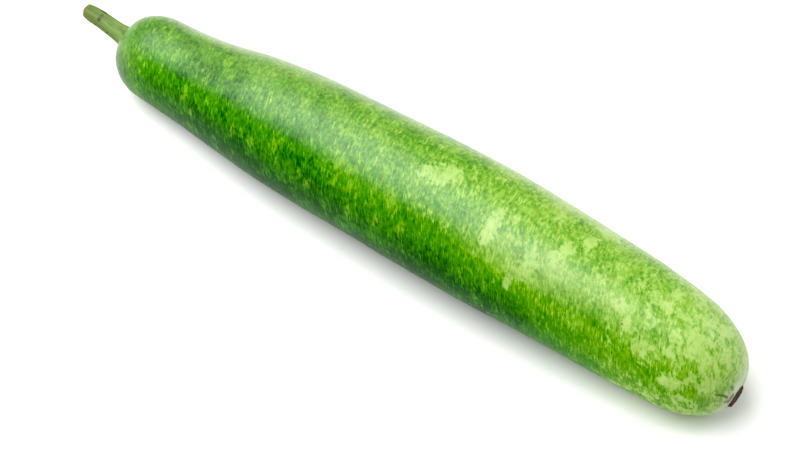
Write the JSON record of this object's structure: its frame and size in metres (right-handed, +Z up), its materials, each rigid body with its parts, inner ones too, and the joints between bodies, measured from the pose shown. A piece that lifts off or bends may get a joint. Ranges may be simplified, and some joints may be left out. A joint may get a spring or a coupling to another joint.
{
  "type": "bottle gourd",
  "caption": "Long club-shaped green gourd lying on its side, narrower at the head, with a short ribbed cut stalk and a corky blossom scar.",
  "frame": {"origin": "on the surface the gourd lies on, under the middle of its bounding box", "axes": "+X from the stalk end to the blossom end, +Y across, +Z up"},
  "size_m": [0.4318, 0.0738, 0.0722],
  "materials": {
    "skin": "satin",
    "stalk": "matte",
    "cork": "matte"
  },
  "bodies": {
    "root": {"fruit": "skin", "stalk": "stalk", "blossom_scar": "cork"}
  },
  "joints": []
}
